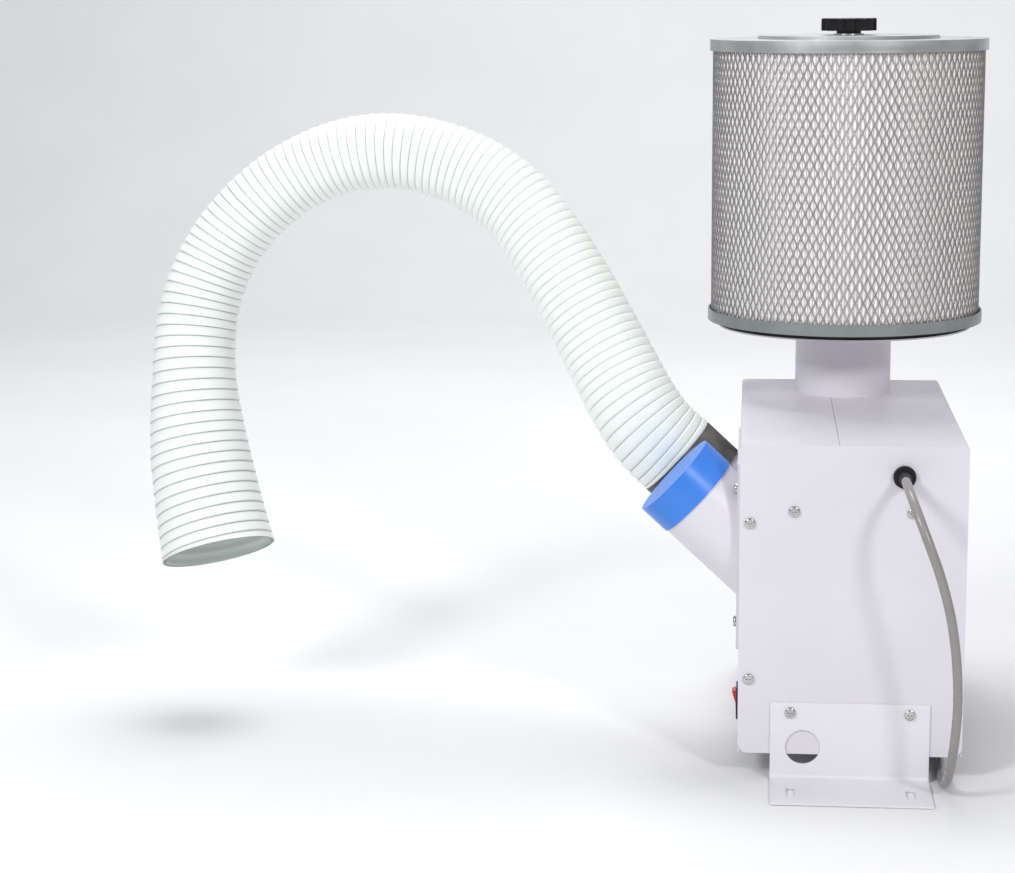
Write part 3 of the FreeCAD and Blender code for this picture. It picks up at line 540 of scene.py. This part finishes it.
def natural_spline(knots, values, at):
    """Cubic spline through values at knots, without curvature at both ends."""
    gaps = np.diff(knots)
    count = len(knots)
    system = np.eye(count)
    right = np.zeros_like(values)
    for i in range(1, count - 1):
        system[i, i - 1:i + 2] = gaps[i - 1], 2 * (gaps[i - 1] + gaps[i]), gaps[i]
        slope_after = (values[i + 1] - values[i]) / gaps[i]
        slope_before = (values[i] - values[i - 1]) / gaps[i - 1]
        right[i] = 6 * (slope_after - slope_before)
    bend = np.linalg.solve(system, right)
    i = np.clip(np.searchsorted(knots, at) - 1, 0, count - 2)
    h = gaps[i][:, None]
    a = (knots[i + 1] - at)[:, None]
    b = (at - knots[i])[:, None]
    cubic = (bend[i] * a ** 3 + bend[i + 1] * b ** 3) / (6 * h)
    return cubic + (values[i] / h - bend[i] * h / 6) * a + (values[i + 1] / h - bend[i + 1] * h / 6) * b


def strip_profile(phase):
    """Height of the wound strip over its own pitch: it leans, so its raised edge laps the next winding."""
    return STRIP_LEAN * (phase - STRIP_LEVEL) + STRIP_CROWN * np.sin(np.pi * phase)


def make_hose():
    """The hose's skin in three stretches, each blended across one of its hinges."""
    line_data = hose_line()
    along = line_data[0]
    share = along / along[-1]
    pitch = np.interp(share, *zip(*HOSE_PITCHES))
    turns_at = np.r_[0, np.cumsum(np.diff(along) / pitch[1:])]
    last = math.ceil(turns_at[-1]) + 1
    cuts = [0] + [round(float(np.interp(s, share, turns_at))) for s in HOSE_CUTS] + [last]
    replaced = [("hose_section_1", "hose_flex_1"), ("hose_section_2", "hose_flex_2"),
                ("hose_section_3", "hose_section_4", "hose_flex_3")]
    for i, (first, end) in enumerate(zip(cuts, cuts[1:])):
        skin = wound_tube(f"hose_skin_{i + 1}", line_data, turns_at, first, end)
        dress(skin, MATERIALS["hose_white"])
        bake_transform(skin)
        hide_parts(*replaced[i])


def wound_tube(name, line_data, turns_at, first_turn, last_turn):
    """Closed mesh of one stretch: two walls joined at both ends, with painted shade marked for the material in its
    seam grooves and over its inner wall.
    """
    along, line, tangent, radius = line_data
    rows = [(turn + place, place, groove_and_shade)
            for turn in range(first_turn, last_turn) for place, groove_and_shade in STRIP_ROWS]
    rows.append((last_turn, 0.0, 1.0))
    turns, phases, grooves_and_shade = np.array(rows).T
    angles = np.arange(HOSE_ROUND + 1) * 2 * np.pi / HOSE_ROUND
    distance = np.interp(turns[:, None] + angles[None] / (2 * np.pi) - 1, turns_at, along)

    def sampled(table):
        return np.stack([np.interp(distance, along, table[:, k]) for k in range(3)], axis=-1)

    spot, way = sampled(line), sampled(tangent)
    side = np.array([0, 1.0, 0]) - way * way[..., 1:2]
    side /= np.linalg.norm(side, axis=-1, keepdims=True)
    across = np.cross(way, side)
    spread = np.cos(angles)[None, :, None] * side + np.sin(angles)[None, :, None] * across
    reach = np.interp(distance, along, radius)
    outside = reach + (strip_profile(phases) - SEAM_DEPTH * grooves_and_shade)[:, None]
    inside = reach - HOSE_WALL - HOSE_WALL_WAVE * np.cos(2 * np.pi * phases)[:, None]
    outer = spot + spread * outside[..., None]
    inner = spot + spread * inside[..., None]
    count, cols = distance.shape
    deep = count * cols
    vertices = np.concatenate([outer.reshape(-1, 3), inner.reshape(-1, 3)])
    faces = []
    for j in range(count - 1):
        for i in range(cols - 1):
            a = j * cols + i
            faces.append((a, a + 1, a + cols + 1, a + cols))
            faces.append((deep + a, deep + a + cols, deep + a + cols + 1, deep + a + 1))
    for i in range(cols - 1):
        a = (count - 1) * cols + i
        faces.append((i + 1, i, deep + i, deep + i + 1))
        faces.append((a, a + 1, deep + a + 1, deep + a))
    tube = mesh_object(name, vertices, faces)
    # Painted shade for the material: darker along the seam grooves and over the whole inner wall.
    marks = tube.data.attributes.new("groove_and_shade", "FLOAT", "POINT")
    inner_painted_shade = np.full(deep, INNER_PAINTED_SHADE)
    marks.data.foreach_set("value", np.r_[np.repeat(grooves_and_shade, cols), inner_painted_shade].astype(np.float32))
    mesh = bmesh.new()
    mesh.from_mesh(tube.data)
    bmesh.ops.remove_doubles(mesh, verts=mesh.verts, dist=1e-6)
    bmesh.ops.recalc_face_normals(mesh, faces=mesh.faces)
    mesh.to_mesh(tube.data)
    mesh.free()
    tube.data.shade_smooth()
    return tube


# Filter skin

def make_filter_mesh():
    """Expanded metal: zigzag strands, each the mirror of its neighbours, that meet at every knuckle."""
    low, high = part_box("filter_outer_mesh")
    middle = (low + high) / 2
    radius = (high.x - low.x) / 2 - STRAND_DEPTH / 2
    strands = 2 * round(2 * math.pi * radius / MESH_PITCH)
    half_rows = round(2 * (high.z - low.z) / MESH_ROW)
    step_z = (high.z - low.z) / half_rows
    spacing = 2 * math.pi / strands
    half_width = STRAND_WIDTH / 2 / radius
    swing = spacing / 2 - KNUCKLE_SHORT * half_width
    vertices, faces = [], []
    for s in range(strands):
        for j in range(half_rows + 1):
            way = (-1) ** (j + s)
            z = low.z + j * step_z
            for across, depth in ((-1, -1), (1, -1), (1, 1), (-1, 1)):
                angle = s * spacing + way * swing + across * half_width
                r = radius + depth * STRAND_DEPTH / 2 + way * across * STRAND_TILT
                vertices.append((middle.x + r * math.cos(angle), middle.y + r * math.sin(angle), z))
        first = s * (half_rows + 1) * 4
        for j in range(half_rows):
            for k in range(4):
                a = first + j * 4 + k
                b = first + j * 4 + (k + 1) % 4
                faces.append((a, b, b + 4, a + 4))
        faces.append((first + 3, first + 2, first + 1, first))
        last = first + half_rows * 4
        faces.append((last, last + 1, last + 2, last + 3))
    mesh = mesh_object("filter_expanded_metal", vertices, faces, smooth=False)
    dress(mesh, MATERIALS["mesh_steel"])
    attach(mesh, "canister")
    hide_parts("filter_outer_mesh")


def make_filter_paper():
    """Closely pleated paper ring just inside the expanded metal."""
    low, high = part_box("filter_media")
    middle = (low + high) / 2
    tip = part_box("filter_outer_mesh")[1].x - PAPER_CLEARANCE
    step = 2 * math.pi / PAPER_PLEATS
    front = []
    for i in range(PAPER_PLEATS):
        angle = 2 * math.pi * i / PAPER_PLEATS
        uneven = PAPER_UNEVEN * math.sin(i * PAPER_FAST) * math.sin(i * PAPER_SLOW)
        for share, depth in PLEAT_SHAPE:
            front.append((angle + share * step + uneven / tip, tip - depth + uneven * PAPER_UNEVEN_DEPTH))
    back = [(angle, PAPER_BACK_R) for angle, _ in front]
    count = len(front)
    rings = [(front, low.z), (front, high.z), (back, high.z), (back, low.z)]
    vertices = [(middle.x + r * math.cos(a), middle.y + r * math.sin(a), z)
                for ring, z in rings for a, r in ring]
    faces = []
    # Each ring is joined to the next, and the last to the first
    for k in range(len(rings)):
        n = (k + 1) % len(rings)
        for i in range(count):
            j = (i + 1) % count
            faces.append((k * count + i, k * count + j, n * count + j, n * count + i))
    pleats = mesh_object("filter_paper", vertices, faces, smooth=False)
    dress(pleats, MATERIALS["media_paper"])
    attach(pleats, "canister")
    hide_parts("filter_media")


make_camera()
make_cord()
dress_nodes()
make_studio()
make_floor()
make_hose()
make_filter_mesh()
make_filter_paper()
soften_edges()
